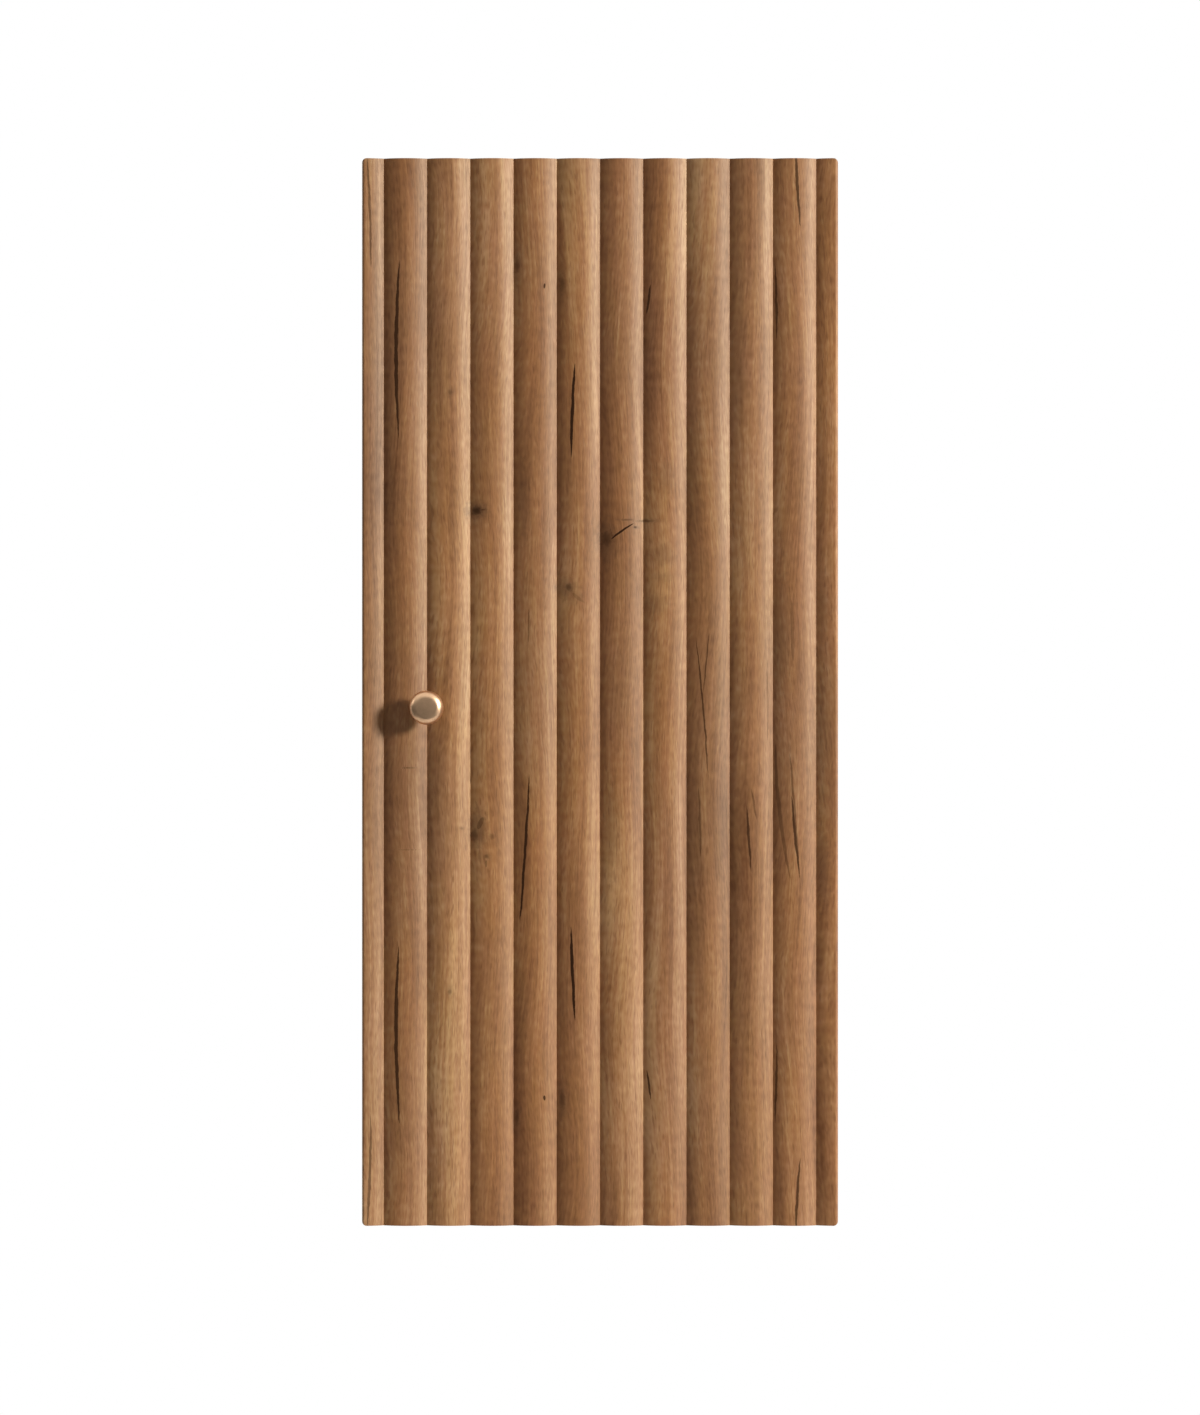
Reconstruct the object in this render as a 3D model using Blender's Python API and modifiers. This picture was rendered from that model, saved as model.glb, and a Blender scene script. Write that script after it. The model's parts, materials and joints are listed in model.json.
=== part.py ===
"""Wall cabinet with one reeded door, hung on a steel wall rail.

Metres, +Z up. Facing the cabinet, +X is to the right and the front is towards -Y.
The wall is the plane y = 0, and the origin is the centre of the wall rail's rear face.
"""
import math
from functools import partial

import bmesh
import bpy
from mathutils import Matrix, Quaternion, Vector

MM = 0.001

# Fits
fit = 0.3 * MM                  # gap between two pieces that touch, or a pin and its hole
overrun = 20 * MM               # how far a cut starts outside the piece

# Cabinet box
cabinet_width = 350 * MM
cabinet_height = 785 * MM
carcass_depth = 300 * MM        # wall to the front edges of the boards
board = 16 * MM
cabinet_top = 60 * MM           # height of the top above the wall rail's centre
back_thickness = 3 * MM
back_setback = 18 * MM          # wall to the groove that holds the back panel
groove_depth = 8 * MM

# Dowels
dowel_radius = 4 * MM
dowel_in_side = 10 * MM
dowel_in_board = 20 * MM
dowel_inset = 60 * MM           # front and rear edges to the dowels

# Shelves and their pins
shelf_count = 2
shelf_board = 16 * MM
shelf_front_setback = 16 * MM
shelf_rear_gap = 3 * MM
shelf_end_gap = 1.8 * MM
pin_line_front = 37 * MM        # front edge to the first line of holes
pin_line_rear = 39 * MM         # wall to the rear line of holes
pin_hole_pitch = 32 * MM
pin_hole_depth = 10 * MM
pin_shank_radius = 2.35 * MM
pin_collar_radius = 4.2 * MM
pin_collar = 1.2 * MM
pin_nose_radius = 2.6 * MM
pin_nose = 8 * MM

# Door: 10 whole reeds and a half reed at each edge
door_gap = 2 * MM
door_base = 17 * MM
reed_count = 11
reed_depth = 5 * MM
reed_facets = 8
door_corner_radius = 3.5 * MM
bumper_radius = 4 * MM
bumper_inset = 30 * MM          # door's top and bottom edges to the bumpers

# Knob
knob_below_top = 404 * MM
knob_pitches_left = 4           # reed valleys from the door's centre
knob_radius = 12.5 * MM
knob_projection = 24 * MM
knob_head = 9.5 * MM
knob_foot_radius = 6 * MM
knob_waist_radius = 4.8 * MM
knob_dish = 0.6 * MM
knob_seat_margin = 0.6 * MM
knob_screw_radius = 2 * MM
knob_screw_engagement = 10 * MM
pan_head_radius = 3.8 * MM
pan_head = 2.2 * MM

# Hinges. The pins' places are (u, v): u inward from the side panel's outer face, v forward
# of its front edge. The door hangs on two links: the inner one turns on pin A and carries
# pin C, the outer one turns on pin B and carries pin D with play in its eye.
hinge_from_top = 100 * MM
hinge_from_bottom = 100 * MM
pin_a = (36.5 * MM, -15.9 * MM)
pin_b = (38.6 * MM, 8.1 * MM)
pin_c = (10.3 * MM, 5.8 * MM)
pin_d = (15.1 * MM, 8.5 * MM)
eye_d = (15.2 * MM, 9.65 * MM)  # the outer link's eye, with the door shut
hinge_pin_radius = 1 * MM
rivet_radius = 1.4 * MM
eye_radius = 2.35 * MM
eye_wall = 0.65 * MM
boss_c_radius = 2.1 * MM
link_boss_radius = 2.6 * MM
link_half_width = 1.8 * MM
inner_link_bow = 7.3 * MM
outer_link_bow = 1.9 * MM
inner_link_half = 3 * MM        # half its size along the pins
outer_link_half = 4.7 * MM
outer_link_fork = 9 * MM
cup_radius = 20 * MM
cup_edge_distance = 4.5 * MM    # door's edge to the cup
cup_wall = 1.2 * MM
cup_bottom = 1.5 * MM
cup_cavity_depth = 11.2 * MM
cup_cavity_half = 6.8 * MM
cup_pin_reach = 9.5 * MM
cup_pin_bridge = 10.5 * MM
flange = 1 * MM
flange_from = 17 * MM
flange_to = 40 * MM
flange_half = 31 * MM
cup_screw_offset = 6 * MM       # cup's centre to its screws, into the door
cup_screw_half = 26 * MM
wood_screw_radius = 1.7 * MM
cup_screw_length = 13 * MM
arm_sheet = 1.2 * MM
arm_half = 6.2 * MM
arm_rear = 62 * MM
arm_height = 12.6 * MM
arm_crank_rear = 34 * MM
arm_crank_front = 19 * MM
arm_nose_radius = 4.2 * MM
arm_web_front = 4 * MM
plate_thickness = 2 * MM
plate_half = 24 * MM
plate_front = 30 * MM
plate_rear = 60 * MM
plate_screw_half = 16 * MM
plate_screw_length = 13 * MM

# Wall rail and hangers
rail_sheet = 2 * MM
rail_below = 18 * MM            # rail's centre to its lower edge
rail_above = 18 * MM            # rail's centre to the top of its lip
rail_step = 8 * MM              # height of the step that carries the lip
rail_lip_offset = 8 * MM        # wall to the front of the lip
rail_end_gap = 3 * MM
rail_hole_radius = 2.75 * MM
rail_hole_drop = 9 * MM
rail_hole_places = (-120 * MM, -45 * MM, 45 * MM, 120 * MM)
hook_sheet = 2.5 * MM
hook_tail = 3 * MM
hook_drop = 9 * MM
hook_bridge = 6 * MM
hook_tongue = 14 * MM
hook_reach = 45 * MM            # wall to the hook's front end
hanger_travel = 6 * MM          # each way, up and down
hanger_width = 16 * MM
hanger_height = 50 * MM
hanger_depth = 32 * MM
hanger_peg_radius = 4.7 * MM
hanger_peg = 10 * MM
hanger_screw_radius = 2.4 * MM
hanger_screw_length = 20 * MM
hanger_screw_head = 3.6 * MM
hanger_screw_drop = 6.5 * MM    # housing's top to the screw
hanger_slot_clearance = 0.6 * MM

# Worked out from the sizes above
half_width = cabinet_width / 2
inner_half = half_width - board
cabinet_bottom = cabinet_top - cabinet_height
floor_top = cabinet_bottom + board
ceiling = cabinet_top - board
back_front = -(back_setback + 2 * fit + back_thickness)
door_back = -(carcass_depth + door_gap)
valley = door_back - door_base
reed_pitch = cabinet_width / reed_count
hinge_heights = {"upper": cabinet_top - hinge_from_top, "lower": cabinet_bottom + hinge_from_bottom}
shelf_step = (ceiling - floor_top - shelf_count * shelf_board) / (shelf_count + 1) + shelf_board
shelf_names = ("lower_shelf", "upper_shelf")
side_signs = {"left": -1, "right": 1}

# Colours (linear), roughness and metallic value
OAK = ((0.30, 0.155, 0.075), 0.45, 0.0)
BRASS = ((0.50, 0.33, 0.19), 0.38, 1.0)
STEEL = ((0.62, 0.62, 0.63), 0.32, 1.0)
NICKEL = ((0.68, 0.66, 0.62), 0.28, 1.0)
PLASTIC = ((0.55, 0.54, 0.52), 0.5, 0.0)
CLEAR_RUBBER = ((0.70, 0.69, 0.66), 0.6, 0.0)
BEECH = ((0.55, 0.38, 0.22), 0.6, 0.0)

# Turns a piece made along +Z to face another way
FACING = {
    "front": Quaternion((1, 0, 0), math.radians(90)),
    "rear": Quaternion((1, 0, 0), math.radians(-90)),
    "left": Quaternion((0, 1, 0), math.radians(-90)),
    "right": Quaternion((0, 1, 0), math.radians(90)),
}

# Places an outline drawn in the plane across an axis, as (a, b) = (x, y), (y, z) or (x, z)
OUTLINE_PLANE = {
    "z": Matrix.Identity(4),
    "x": Matrix(((0, 0, 1, 0), (1, 0, 0, 0), (0, 1, 0, 0), (0, 0, 0, 1))),
    "y": Matrix(((1, 0, 0, 0), (0, 0, -1, 0), (0, 1, 0, 0), (0, 0, 0, 1))),
}


def clear_scene():
    for old in list(bpy.data.objects):
        bpy.data.objects.remove(old)


def new_collection(name):
    collection = bpy.data.collections.new(name)
    bpy.context.scene.collection.children.link(collection)
    return collection


clear_scene()
PARTS = new_collection("wall_cabinet")
CUTTERS = new_collection("cutters")


# Shapes: each function returns a mesh in world coordinates

def as_mesh(bm):
    mesh = bpy.data.meshes.new("shape")
    bm.to_mesh(mesh)
    bm.free()
    return mesh


def box(corner, opposite):
    low = Vector([min(a, b) for a, b in zip(corner, opposite)])
    high = Vector([max(a, b) for a, b in zip(corner, opposite)])
    place = Matrix.Translation((low + high) / 2) @ Matrix.Diagonal((*(high - low), 1))
    bm = bmesh.new()
    bmesh.ops.create_cube(bm, size=1, matrix=place)
    return as_mesh(bm)


def rod(start, end, radius, sides=12):
    run = Vector(end) - Vector(start)
    turn = Vector((0, 0, 1)).rotation_difference(run).to_matrix().to_4x4()
    place = Matrix.Translation((Vector(start) + Vector(end)) / 2) @ turn
    bm = bmesh.new()
    bmesh.ops.create_cone(bm, cap_ends=True, segments=sides, radius1=radius, radius2=radius,
                          depth=run.length, matrix=place)
    return as_mesh(bm)


def mesh_of(curve):
    """The closed mesh of a curve, with its caps welded on."""
    guide = bpy.data.objects.new("guide", curve)
    CUTTERS.objects.link(guide)
    evaluated = guide.evaluated_get(bpy.context.evaluated_depsgraph_get())
    mesh = bpy.data.meshes.new_from_object(evaluated)
    bpy.data.objects.remove(guide)
    bm = bmesh.new()
    bm.from_mesh(mesh)
    bmesh.ops.remove_doubles(bm, verts=bm.verts, dist=0.001 * MM)
    bpy.data.meshes.remove(mesh)
    return as_mesh(bm)


def slab(axis, low, high, outline, holes=()):
    """A flat outline, with holes, made solid from low to high along an axis."""
    curve = bpy.data.curves.new("outline", "CURVE")
    curve.dimensions = "2D"
    curve.fill_mode = "BOTH"
    curve.extrude = (high - low) / 2
    for loop in (outline, *holes):
        spline = curve.splines.new("POLY")
        spline.points.add(len(loop) - 1)
        for point, (a, b) in zip(spline.points, loop):
            point.co = (a, b, 0, 1)
        spline.use_cyclic_u = True
    mesh = mesh_of(curve)
    middle = (low + high) / 2
    side = -1 if axis == "y" else 1
    mesh.transform(OUTLINE_PLANE[axis] @ Matrix.Translation((0, 0, side * middle)))
    return mesh


def wire(points, radius):
    """A round wire through the given points, with flat ends."""
    curve = bpy.data.curves.new("wire", "CURVE")
    curve.dimensions = "3D"
    curve.bevel_depth = radius
    curve.bevel_resolution = 2
    curve.use_fill_caps = True
    spline = curve.splines.new("POLY")
    spline.points.add(len(points) - 1)
    for point, place in zip(spline.points, points):
        point.co = (*place, 1)
    return mesh_of(curve)


def joined(*shapes):
    bm = bmesh.new()
    for shape in shapes:
        bm.from_mesh(shape)
    return as_mesh(bm)


def arc(centre, radius, start, end, steps):
    """Points on an arc from one angle to another, in degrees."""
    points = []
    for step in range(steps + 1):
        angle = math.radians(start + (end - start) * step / steps)
        points.append((centre[0] + radius * math.cos(angle), centre[1] + radius * math.sin(angle)))
    return points


def circle(centre, radius, sides=16):
    return arc(centre, radius, 0, 360 * (sides - 1) / sides, sides - 1)


# Objects

def empty(name, place, holder=None):
    marker = bpy.data.objects.new(name, None)
    marker.empty_display_size = 20 * MM
    PARTS.objects.link(marker)
    put(marker, Vector(place), holder)
    return marker


def world_place(obj):
    place = obj.location.copy()
    while obj.parent:
        obj = obj.parent
        place += obj.location
    return place


def put(obj, place, holder):
    """Place an object at a world position under its holder, which is never turned."""
    obj.parent = holder
    obj.location = place - world_place(holder) if holder else place


def dress(obj, look):
    colour, roughness, metallic = look
    material = bpy.data.materials.new(obj.name)
    material.use_nodes = True
    shader = material.node_tree.nodes["Principled BSDF"]
    shader.inputs["Base Color"].default_value = (*colour, 1)
    shader.inputs["Roughness"].default_value = roughness
    shader.inputs["Metallic"].default_value = metallic
    obj.data.materials.append(material)


def add(name, mesh, holder, look, origin=None):
    """A sub-part whose mesh is in world coordinates; its origin is its middle or a joint."""
    if origin is None:
        corners = [vertex.co for vertex in mesh.vertices]
        low = Vector([min(corner[i] for corner in corners) for i in range(3)])
        high = Vector([max(corner[i] for corner in corners) for i in range(3)])
        origin = (low + high) / 2
    mesh.transform(Matrix.Translation(-origin))
    mesh.name = name
    mesh.shade_smooth()
    mesh.set_sharp_from_angle(angle=math.radians(35))
    obj = bpy.data.objects.new(name, mesh)
    PARTS.objects.link(obj)
    put(obj, origin, holder)
    dress(obj, look)
    return obj


def combine(obj, operation, shape):
    """Change a sub-part with a shape given in world coordinates."""
    shape.transform(Matrix.Translation(-world_place(obj)))
    tool = bpy.data.objects.new(obj.name + "_" + operation.lower(), shape)
    tool.display_type = "WIRE"
    tool.hide_render = True
    CUTTERS.objects.link(tool)
    tool.parent = obj
    modifier = obj.modifiers.new(operation.lower(), "BOOLEAN")
    modifier.operation = operation
    modifier.solver = "EXACT"
    modifier.object = tool


def turned(name, profile, seat, facing, holder, look, sides):
    """A turned piece: its profile is (radius, height above the seat), from top to bottom."""
    bm = bmesh.new()
    points = [bm.verts.new((radius, 0, height)) for radius, height in profile]
    for upper, lower in zip(points, points[1:]):
        bm.edges.new((upper, lower))
    mesh = as_mesh(bm)
    mesh.name = name
    obj = bpy.data.objects.new(name, mesh)
    PARTS.objects.link(obj)
    obj.rotation_mode = "QUATERNION"
    obj.rotation_quaternion = FACING[facing]
    put(obj, Vector(seat), holder)
    screw = obj.modifiers.new("turn", "SCREW")
    screw.steps = screw.render_steps = sides
    screw.use_merge_vertices = True
    screw.merge_threshold = 0.001 * MM
    screw.use_smooth_shade = True
    dress(obj, look)
    return obj


def pan_screw(name, seat, facing, head_radius, head, shank_radius, length, holder, look=STEEL):
    tip = 1.5 * shank_radius
    profile = [(0, head), (0.6 * head_radius, head), (head_radius, 0.45 * head), (head_radius, 0),
               (shank_radius, 0), (shank_radius, tip - length), (0.3 * shank_radius, -length),
               (0, -length)]
    return turned(name, profile, seat, facing, holder, look, 12)


# Carcass

def shelf_underside(index):
    return floor_top + (index + 1) * shelf_step - shelf_board


def shelf_pin_lines():
    return {"front": -carcass_depth + pin_line_front, "rear": -pin_line_rear}


def dowel_lines():
    return {"front": -carcass_depth + dowel_inset, "rear": -dowel_inset}


def dowel_heights():
    return {"top": cabinet_top - board / 2, "bottom": cabinet_bottom + board / 2}


def hinge_plate_screw_places():
    return [(-carcass_depth + pin_line_front, height + side * plate_screw_half)
            for height in hinge_heights.values() for side in (-1, 1)]


def hanger_peg_places():
    middle = back_front - fit - hanger_depth / 2
    top = ceiling - fit
    return [(middle, top - 0.25 * hanger_height), (middle, top - 0.75 * hanger_height)]


def side_panel(side, cabinet):
    sign = side_signs[side]
    outer = sign * half_width
    inner = sign * inner_half
    panel = add(side + "_side_panel", box((outer, -carcass_depth, cabinet_bottom), (inner, 0, cabinet_top)),
                cabinet, OAK)
    beyond = inner - sign * overrun

    def drilled(y, z, depth, radius):
        return rod((beyond, y, z), (inner + sign * depth, y, z), radius)

    holes = []
    for z in dowel_heights().values():
        for y in dowel_lines().values():
            holes.append(drilled(y, z, dowel_in_side + fit, dowel_radius + fit))
    for index in range(shelf_count):
        axis = shelf_underside(index) - fit - pin_nose_radius
        for y in shelf_pin_lines().values():
            for step in (-1, 0, 1):
                holes.append(drilled(y, axis + step * pin_hole_pitch, pin_hole_depth + fit,
                                     pin_shank_radius + fit))
    for y, z in hanger_peg_places():
        holes.append(drilled(y, z, hanger_peg + fit, hanger_peg_radius + fit))
    if side == "right":
        depth = plate_screw_length - plate_thickness - fit
        for y, z in hinge_plate_screw_places():
            holes.append(drilled(y, z, depth, wood_screw_radius + fit))
    combine(panel, "DIFFERENCE", joined(*holes))
    groove = box((beyond, back_front - fit, floor_top - groove_depth),
                 (inner + sign * groove_depth, -back_setback, ceiling + groove_depth))
    combine(panel, "DIFFERENCE", groove)


def end_board(name, inner_z, outer_z, cabinet):
    """The top or bottom panel, between the side panels."""
    end = inner_half - fit
    panel = add(name, box((-end, -carcass_depth, inner_z), (end, 0, outer_z)), cabinet, OAK)
    outward = math.copysign(1, outer_z - inner_z)
    groove = box((-half_width, back_front - fit, inner_z - outward * overrun),
                 (half_width, -back_setback, inner_z + outward * groove_depth))
    combine(panel, "DIFFERENCE", groove)
    z = (inner_z + outer_z) / 2
    holes = []
    for sign in side_signs.values():
        for y in dowel_lines().values():
            start = (sign * half_width, y, z)
            stop = (sign * (inner_half - dowel_in_board - fit), y, z)
            holes.append(rod(start, stop, dowel_radius + fit))
    combine(panel, "DIFFERENCE", joined(*holes))


def dowels(cabinet):
    for end, z in dowel_heights().items():
        for side, sign in side_signs.items():
            for place, y in dowel_lines().items():
                start = (sign * (inner_half + dowel_in_side), y, z)
                stop = (sign * (inner_half - dowel_in_board), y, z)
                add(f"{end}_{side}_{place}_dowel", rod(start, stop, dowel_radius), cabinet, BEECH)


def back_panel(cabinet):
    half = inner_half + groove_depth - fit
    low = floor_top - groove_depth + fit
    high = ceiling + groove_depth - fit
    panel = add("back_panel", box((-half, back_front, low), (half, back_front + back_thickness, high)),
                cabinet, OAK)
    notches = []
    for sign in side_signs.values():
        notches.append(box(*hook_slot(sign, 0, -2 * back_setback)))
    combine(panel, "DIFFERENCE", joined(*notches))


def shelves(cabinet):
    half = inner_half - shelf_end_gap
    for index, name in enumerate(shelf_names):
        low = shelf_underside(index)
        add(name, box((-half, -carcass_depth + shelf_front_setback, low),
                      (half, back_front - shelf_rear_gap, low + shelf_board)), cabinet, OAK)
        for side, sign in side_signs.items():
            facing = "left" if side == "right" else "right"
            for place, y in shelf_pin_lines().items():
                seat = (sign * (inner_half - fit), y, low - fit - pin_nose_radius)
                profile = [(0, pin_collar + pin_nose), (pin_nose_radius, pin_collar + pin_nose),
                           (pin_nose_radius, pin_collar), (pin_collar_radius, pin_collar),
                           (pin_collar_radius, 0), (pin_shank_radius, 0),
                           (pin_shank_radius, fit - pin_hole_depth), (0, fit - pin_hole_depth)]
                turned(f"{name}_pin_{place}_{side}", profile, seat, facing, cabinet, NICKEL, 12)


# Door

def reed_outline():
    """The door's section seen from above: flat back, reeded front."""
    half = reed_pitch / 2
    radius = (half ** 2 + reed_depth ** 2) / (2 * reed_depth)
    centre_y = valley + radius - reed_depth
    points = [(-half_width, door_back), (half_width, door_back)]
    for index in range(reed_count * reed_facets + 1):
        x = half_width - index * reed_pitch / reed_facets
        from_crest = (x - half_width) % reed_pitch
        from_crest = min(from_crest, reed_pitch - from_crest)
        points.append((x, centre_y - math.sqrt(radius ** 2 - from_crest ** 2)))
    return points


def door_elevation():
    """The door's outline seen from the front, with rounded corners."""
    inset_x = half_width - door_corner_radius
    low = cabinet_bottom + door_corner_radius
    high = cabinet_top - door_corner_radius
    points = arc((inset_x, high), door_corner_radius, 0, 90, 4)
    points += arc((-inset_x, high), door_corner_radius, 90, 180, 4)
    points += arc((-inset_x, low), door_corner_radius, 180, 270, 4)
    points += arc((inset_x, low), door_corner_radius, 270, 360, 4)
    return points


def knob_place():
    return -knob_pitches_left * reed_pitch, cabinet_top - knob_below_top


def door_panel(door):
    panel = add("door_panel", slab("z", cabinet_bottom, cabinet_top, reed_outline()), door, OAK)
    combine(panel, "INTERSECT",
            slab("y", valley - reed_depth - overrun, door_back + overrun, door_elevation()))
    x, z = knob_place()
    seat = rod((x, valley, z), (x, valley - overrun, z), knob_foot_radius + knob_seat_margin, 24)
    combine(panel, "DIFFERENCE", seat)
    holes = [rod((x, door_back + overrun, z), (x, valley - overrun, z), knob_screw_radius + fit)]
    for height in hinge_heights.values():
        spot = partial(hinge_spot, height)
        centre = cup_edge_distance + cup_radius
        floor = door_gap + cup_cavity_depth + cup_bottom + fit
        holes.append(rod(spot(centre, 0), spot(centre, floor), cup_radius + fit, 32))
        for side in (-1, 1):
            z_offset = side * cup_screw_half
            depth = door_gap - fit - flange + cup_screw_length + fit
            holes.append(rod(spot(centre + cup_screw_offset, 0, z_offset),
                             spot(centre + cup_screw_offset, depth, z_offset), wood_screw_radius + fit))
    combine(panel, "DIFFERENCE", joined(*holes))


def knob_profile():
    """Dished face, rounded rim, and a waist that flares into the foot, with the screw's bore."""
    bore = knob_screw_radius + fit
    bore_depth = knob_screw_engagement + fit
    head_back = knob_projection - knob_head
    edge = knob_projection - 0.22 * knob_head
    face = [(0, knob_projection - knob_dish), (0.45 * knob_radius, knob_projection - 0.7 * knob_dish),
            (0.76 * knob_radius, knob_projection - 0.1 * knob_dish), (0.84 * knob_radius, knob_projection)]
    rim = [(0.94 * knob_radius, edge + 0.12 * knob_head), (knob_radius, edge - 0.12 * knob_head),
           (knob_radius, head_back + 0.35 * knob_head), (0.9 * knob_radius, head_back + 0.12 * knob_head)]
    waist = [(0.66 * knob_radius, head_back - 0.1 * knob_head), (knob_waist_radius, 0.5 * head_back),
             (knob_waist_radius, 0.35 * head_back), (knob_foot_radius, 0.08 * head_back),
             (knob_foot_radius, 0)]
    return face + rim + waist + [(bore, 0), (bore, bore_depth), (0, bore_depth)]


def knob(door):
    x, z = knob_place()
    turned("knob", knob_profile(), (x, valley - fit, z), "front", door, BRASS, 32)
    length = door_base + fit + knob_screw_engagement
    pan_screw("knob_screw", (x, door_back + fit, z), "rear", pan_head_radius, pan_head,
              knob_screw_radius, length, door)


def bumpers(door):
    x = -(half_width - board / 2)
    thickness = door_gap - 2 * fit
    for name, z in {"upper_bumper": cabinet_top - bumper_inset,
                    "lower_bumper": cabinet_bottom + bumper_inset}.items():
        profile = [(0, thickness), (0.75 * bumper_radius, thickness), (bumper_radius, 0.5 * thickness),
                   (bumper_radius, 0), (0, 0)]
        turned(name, profile, (x, door_back + fit, z), "rear", door, CLEAR_RUBBER, 16)


# Hinges

def hinge_spot(height, u, v, z=0):
    """A hinge's own place: u inward from the outer face, v forward of the front edge."""
    return Vector((half_width - u, -carcass_depth - v, height + z))


def hinge_outline(points):
    return [(half_width - u, -carcass_depth - v) for u, v in points]


def bowed(start, end, bow, steps=12):
    """Points and unit normals along a curve that bows out by a given height."""
    run = Vector(end) - Vector(start)
    side = Vector((-run.y, run.x)).normalized()
    control = (Vector(start) + Vector(end)) / 2 + 2 * bow * side
    curve = []
    for step in range(steps + 1):
        t = step / steps
        point = (1 - t) ** 2 * Vector(start) + 2 * t * (1 - t) * control + t ** 2 * Vector(end)
        tangent = (2 * (1 - t) * (control - Vector(start)) + 2 * t * (Vector(end) - control)).normalized()
        curve.append((point, Vector((-tangent.y, tangent.x))))
    return curve


def link_outline(start, start_radius, end, end_radius, bow):
    """A bowed strip with a round boss at each end."""
    curve = bowed(start, end, bow)
    left, right = [], []
    for point, normal in curve:
        near_start = start_radius ** 2 - (point - Vector(start)).length_squared
        near_end = end_radius ** 2 - (point - Vector(end)).length_squared
        reach = math.sqrt(max(near_start, near_end, link_half_width ** 2))
        left.append(tuple(point + reach * normal))
        right.append(tuple(point - reach * normal))

    def cap(centre, radius, normal):
        start_angle = math.degrees(math.atan2(normal.y, normal.x))
        return arc(centre, radius, start_angle, start_angle - 180, 8)[1:-1]

    far = cap(end, end_radius, curve[-1][1])
    near = cap(start, start_radius, -curve[0][1])
    return left + far + right[::-1] + near


def inner_link(name, height, holder):
    outline = link_outline(pin_c, boss_c_radius, pin_a, link_boss_radius, inner_link_bow)
    holes = [hinge_outline(circle(pin_c, hinge_pin_radius + fit)),
             hinge_outline(circle(pin_a, rivet_radius + fit))]
    mesh = slab("z", height - inner_link_half, height + inner_link_half, hinge_outline(outline), holes)
    add(name, mesh, holder, NICKEL, hinge_spot(height, *pin_a))


def outer_link(name, height, holder):
    outline = link_outline(eye_d, eye_radius + eye_wall, pin_b, link_boss_radius, outer_link_bow)
    holes = [hinge_outline(circle(eye_d, eye_radius)),
             hinge_outline(circle(pin_b, rivet_radius + fit))]
    mesh = slab("z", height - outer_link_half, height + outer_link_half, hinge_outline(outline), holes)
    link = add(name, mesh, holder, NICKEL, hinge_spot(height, *pin_b))
    half = inner_link_half + fit
    centre = hinge_spot(height, *eye_d)
    lift = Vector((0, 0, half))
    combine(link, "DIFFERENCE", rod(centre - lift, centre + lift, outer_link_fork, 32))


def cup(side, height, door):
    spot = partial(hinge_spot, height)
    centre = cup_edge_distance + cup_radius
    face = door_gap - fit - flange
    floor = door_gap + cup_cavity_depth
    screw_u = centre + cup_screw_offset
    body = add(side + "_hinge_cup", rod(spot(centre, face), spot(centre, floor + cup_bottom), cup_radius, 32),
               door, NICKEL)
    wings = box(spot(flange_from, face, -flange_half), spot(flange_to, face + flange, flange_half))
    combine(body, "UNION", wings)
    edge = box(spot(-fit, face - flange, -flange_half), spot(flange_from, door_gap, flange_half))
    combine(body, "DIFFERENCE", edge)
    inside = cup_radius - cup_wall
    angle = math.degrees(math.asin(cup_cavity_half / inside))
    cavity = arc((centre, 0), inside, -angle, angle, 6) + arc((centre, 0), inside, 180 - angle, 180 + angle, 6)
    front = -carcass_depth
    outline = [(half_width - u, height + z) for u, z in cavity]
    combine(body, "DIFFERENCE", slab("y", front - floor, front - face + flange, outline))
    hole = hinge_pin_radius + fit
    reach = cup_pin_reach + fit
    pin_holes = [rod(spot(*pin, -reach), spot(*pin, cup_pin_bridge), hole) for pin in (pin_c, pin_d)]
    screw_holes = [rod(spot(screw_u, face - flange, z), spot(screw_u, floor, z), wood_screw_radius + fit)
                   for z in (-cup_screw_half, cup_screw_half)]
    combine(body, "DIFFERENCE", joined(*pin_holes, *screw_holes))
    pocket = box(spot(pin_c[0] - hole, face - flange, cup_pin_bridge - hole),
                 spot(pin_d[0] + hole, max(pin_c[1], pin_d[1]) + hole, cup_pin_bridge + hole))
    combine(body, "DIFFERENCE", pocket)
    bridge = [spot(*pin_c, -cup_pin_reach), spot(*pin_c, cup_pin_bridge),
              spot(*pin_d, cup_pin_bridge), spot(*pin_d, -cup_pin_reach)]
    add(side + "_cup_pin", wire(bridge, hinge_pin_radius), door, STEEL)
    for place, z in {"upper": cup_screw_half, "lower": -cup_screw_half}.items():
        pan_screw(f"{side}_cup_screw_{place}", spot(screw_u, face - fit, z), "rear", pan_head_radius,
                  pan_head, wood_screw_radius, cup_screw_length, door)


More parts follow.
